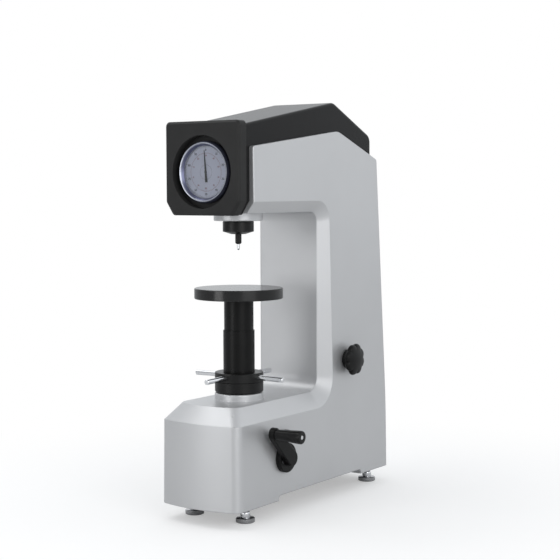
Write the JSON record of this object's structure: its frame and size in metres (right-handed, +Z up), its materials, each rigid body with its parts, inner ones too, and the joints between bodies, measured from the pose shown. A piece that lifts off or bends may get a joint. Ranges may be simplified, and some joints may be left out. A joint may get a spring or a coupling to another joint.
{
  "type": "bench hardness tester",
  "caption": "Manual bench hardness tester: C-shaped casting, dial gauge, lever-loaded indenter, screw-raised table with capstan rods, load crank and force knob.",
  "frame": {"origin": "bottom centre of the bounding box, on the surface that the levelling feet stand on", "axes": "+Z up along the load axis, -Y towards the operator, +X to the operator's right, where the crank is"},
  "size_m": [0.2406, 0.4899, 0.7003],
  "materials": {
    "silver_paint": "smooth silver-grey paint, satin",
    "black_paint": "black paint, satin",
    "panel_black": "moulded black plastic, fine grain",
    "black_plastic": "black phenolic, semi-gloss",
    "ring_metal": "satin grey turned aluminium",
    "black_steel": "blackened turned steel, satin",
    "table_steel": "blackened ground steel",
    "chrome": "polished chrome",
    "steel": "machined steel",
    "bronze": "plain bearing bronze",
    "dial_plate": "pale blue-grey printed dial",
    "pointer_black": "black enamel",
    "gauge_glass": "clear flat glass",
    "foot_steel": "dark nickel, knurled",
    "zinc_screws": "zinc plated"
  },
  "bodies": {
    "frame": {"casting": "silver_paint", "top_cover": "black_paint", "front_panel": "panel_black", "rear_cover": "silver_paint", "rear_cover_screws": "zinc_screws", "gauge_case": "black_paint", "spindle_bush": "bronze", "fulcrum_bracket": "steel", "fulcrum_shaft": "steel", "damper_cylinder": "black_paint", "crank_flange": "black_paint", "flange_screws": "black_steel", "rod_guides": "steel", "screw_bush": "bronze", "thrust_bearing": "steel"},
    "capstan": {"hub_lower": "black_steel", "hub_upper": "black_steel", "rod_right": "chrome", "rod_rear": "chrome", "rod_left": "chrome", "rod_front": "chrome", "cover_sleeve": "black_steel"},
    "table": {"elevating_screw": "steel", "test_table": "table_steel", "cover_tube": "black_steel"},
    "dial": {"gauge_ring": "ring_metal", "gauge_face": "dial_plate", "gauge_glass": "gauge_glass"},
    "pointer": {"gauge_pointer": "pointer_black"},
    "spindle_unit": {"spindle": "steel", "indenter_holder": "black_steel", "indenter_stem": "chrome", "indenter_tip": "chrome", "grub_screw": "black_steel"},
    "lever": {"load_lever": "steel"},
    "weights": {"weight_hanger": "steel", "weight_1": "steel", "weight_2": "steel", "weight_3": "steel"},
    "piston": {"damper_piston": "steel"},
    "selector": {"selector_shaft": "steel", "selector_knob": "black_plastic"},
    "crank": {"crank_shaft": "steel", "crank_arm": "black_paint", "grip_bolt": "chrome"},
    "grip": {"crank_grip": "black_plastic"},
    "transfer": {"transfer_rod": "steel"},
    "lift": {"lift_rod": "steel"},
    "valve": {"valve_knob": "black_plastic"},
    "foot_front_left_unit": {"foot_front_left": "foot_steel"},
    "foot_front_right_unit": {"foot_front_right": "foot_steel"},
    "foot_rear_left_unit": {"foot_rear_left": "foot_steel"},
    "foot_rear_right_unit": {"foot_rear_right": "foot_steel"}
  },
  "joints": [
    {"name": "capstan_turn", "type": "hinge", "parent": "frame", "child": "capstan", "pos_m": [-0.02926, -0.12, 0.2242], "axis": [0, 0, 1], "range_deg": [-3600, 2160]},
    {"name": "table_lift", "type": "slide", "parent": "frame", "child": "table", "axis": [0, 0, 1], "range_m": [-0.036, 0.06]},
    {"name": "load_crank_turn", "type": "hinge", "parent": "frame", "child": "crank", "pos_m": [0.04996, -0.1015, 0.0986], "axis": [-1, 0, 0], "range_deg": [0, 100]},
    {"name": "weights_drop", "type": "slide", "parent": "frame", "child": "weights", "axis": [0, 0, -1], "range_m": [0, 0.0088]},
    {"name": "lever_rock", "type": "hinge", "parent": "frame", "child": "lever", "pos_m": [-0.02926, -0.132, 0.6], "axis": [-1, 0, 0], "range_deg": [0, 2]},
    {"name": "spindle_drop", "type": "slide", "parent": "frame", "child": "spindle_unit", "axis": [0, 0, -1], "range_m": [0, 0.00042]},
    {"name": "pointer_turn", "type": "hinge", "parent": "frame", "child": "pointer", "pos_m": [-0.02926, -0.2007, 0.5766], "axis": [0, -1, 0], "range_deg": [0, 754.5]},
    {"name": "piston_drop", "type": "slide", "parent": "frame", "child": "piston", "axis": [0, 0, -1], "range_m": [0, 0.01107]},
    {"name": "transfer_slide", "type": "slide", "parent": "frame", "child": "transfer", "axis": [0, 1, 0], "range_m": [0, 0.03057]},
    {"name": "lift_drop", "type": "slide", "parent": "frame", "child": "lift", "axis": [0, 0, -1], "range_m": [0, 0.00687]},
    {"name": "grip_spin", "type": "hinge", "parent": "crank", "child": "grip", "pos_m": [0.06496, -0.15099, 0.14639], "axis": [1, 0, 0], "continuous": true},
    {"name": "selector_turn", "type": "hinge", "parent": "frame", "child": "selector", "pos_m": [0.04883, 0.101, 0.244], "axis": [1, 0, 0], "range_deg": [-60, 60]},
    {"name": "dial_turn", "type": "hinge", "parent": "frame", "child": "dial", "pos_m": [-0.02926, -0.2007, 0.5766], "axis": [0, -1, 0], "continuous": true},
    {"name": "valve_turn", "type": "hinge", "parent": "frame", "child": "valve", "pos_m": [0.04982, -0.099, 0.135], "axis": [1, 0, 0], "range_deg": [-180, 180]},
    {"name": "foot_front_left_turn", "type": "hinge", "parent": "frame", "child": "foot_front_left_unit", "pos_m": [-0.08226, -0.177, 0], "axis": [0, 0, 1], "continuous": true},
    {"name": "foot_front_right_turn", "type": "hinge", "parent": "frame", "child": "foot_front_right_unit", "pos_m": [0.02374, -0.177, 0], "axis": [0, 0, 1], "continuous": true},
    {"name": "foot_rear_left_turn", "type": "hinge", "parent": "frame", "child": "foot_rear_left_unit", "pos_m": [-0.08226, 0.212, 0], "axis": [0, 0, 1], "continuous": true},
    {"name": "foot_rear_right_turn", "type": "hinge", "parent": "frame", "child": "foot_rear_right_unit", "pos_m": [0.02374, 0.212, 0], "axis": [0, 0, 1], "continuous": true}
  ],
  "couplings": [
    {"joint": "table_lift", "follows": "capstan_turn", "m_per_rad": -0.00095493},
    {"joint": "load_crank_turn", "follows": "weights_drop", "rad_per_m": 198.41},
    {"joint": "lever_rock", "follows": "weights_drop", "rad_per_m": 3.9683},
    {"joint": "spindle_drop", "follows": "weights_drop", "ratio": 0.047619},
    {"joint": "pointer_turn", "follows": "weights_drop", "rad_per_m": 1496},
    {"joint": "piston_drop", "follows": "weights_drop", "ratio": 1.2579},
    {"joint": "transfer_slide", "follows": "weights_drop", "ratio": 3.4749},
    {"joint": "lift_drop", "follows": "weights_drop", "ratio": 0.78047}
  ]
}
